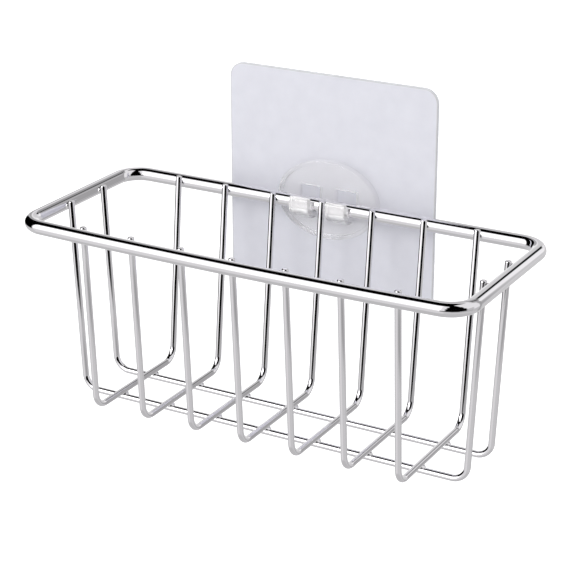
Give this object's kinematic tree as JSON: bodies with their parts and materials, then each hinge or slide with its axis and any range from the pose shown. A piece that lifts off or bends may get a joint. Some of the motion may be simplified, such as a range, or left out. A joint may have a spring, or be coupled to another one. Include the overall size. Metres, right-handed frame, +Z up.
{
  "type": "sink caddy",
  "caption": "Rectangular chrome wire basket for a sink or shower wall, hung by its back rim on a clear two-finger adhesive hook.",
  "frame": {"origin": "middle of the adhesive's back face, on the wall", "axes": "+X to the right of someone facing the wall, along the basket's length; +Y into the wall; +Z up"},
  "size_m": [0.209, 0.0958, 0.1429],
  "materials": {
    "adhesive": "clear, slightly soft",
    "film": "translucent grey film, fine matt grain",
    "clear_plastic": "clear moulded plastic, polished",
    "rim_chrome": "mirror chrome plate",
    "wire_chrome": "mirror chrome plate"
  },
  "bodies": {
    "wall_hook": {"adhesive_layer": "adhesive", "adhesive_film": "film", "hook_plate": "clear_plastic"},
    "basket": {"basket_rim": "rim_chrome", "cross_wire_1": "wire_chrome", "cross_wire_2": "wire_chrome", "cross_wire_3": "wire_chrome", "cross_wire_4": "wire_chrome", "cross_wire_5": "wire_chrome", "cross_wire_6": "wire_chrome", "cross_wire_7": "wire_chrome", "long_wire_front": "wire_chrome", "long_wire_back": "wire_chrome"}
  },
  "joints": [
    {"name": "basket_lift", "type": "slide", "parent": "wall_hook", "child": "basket", "axis": [0, 0, 1], "range_m": [0, 0.025]}
  ]
}
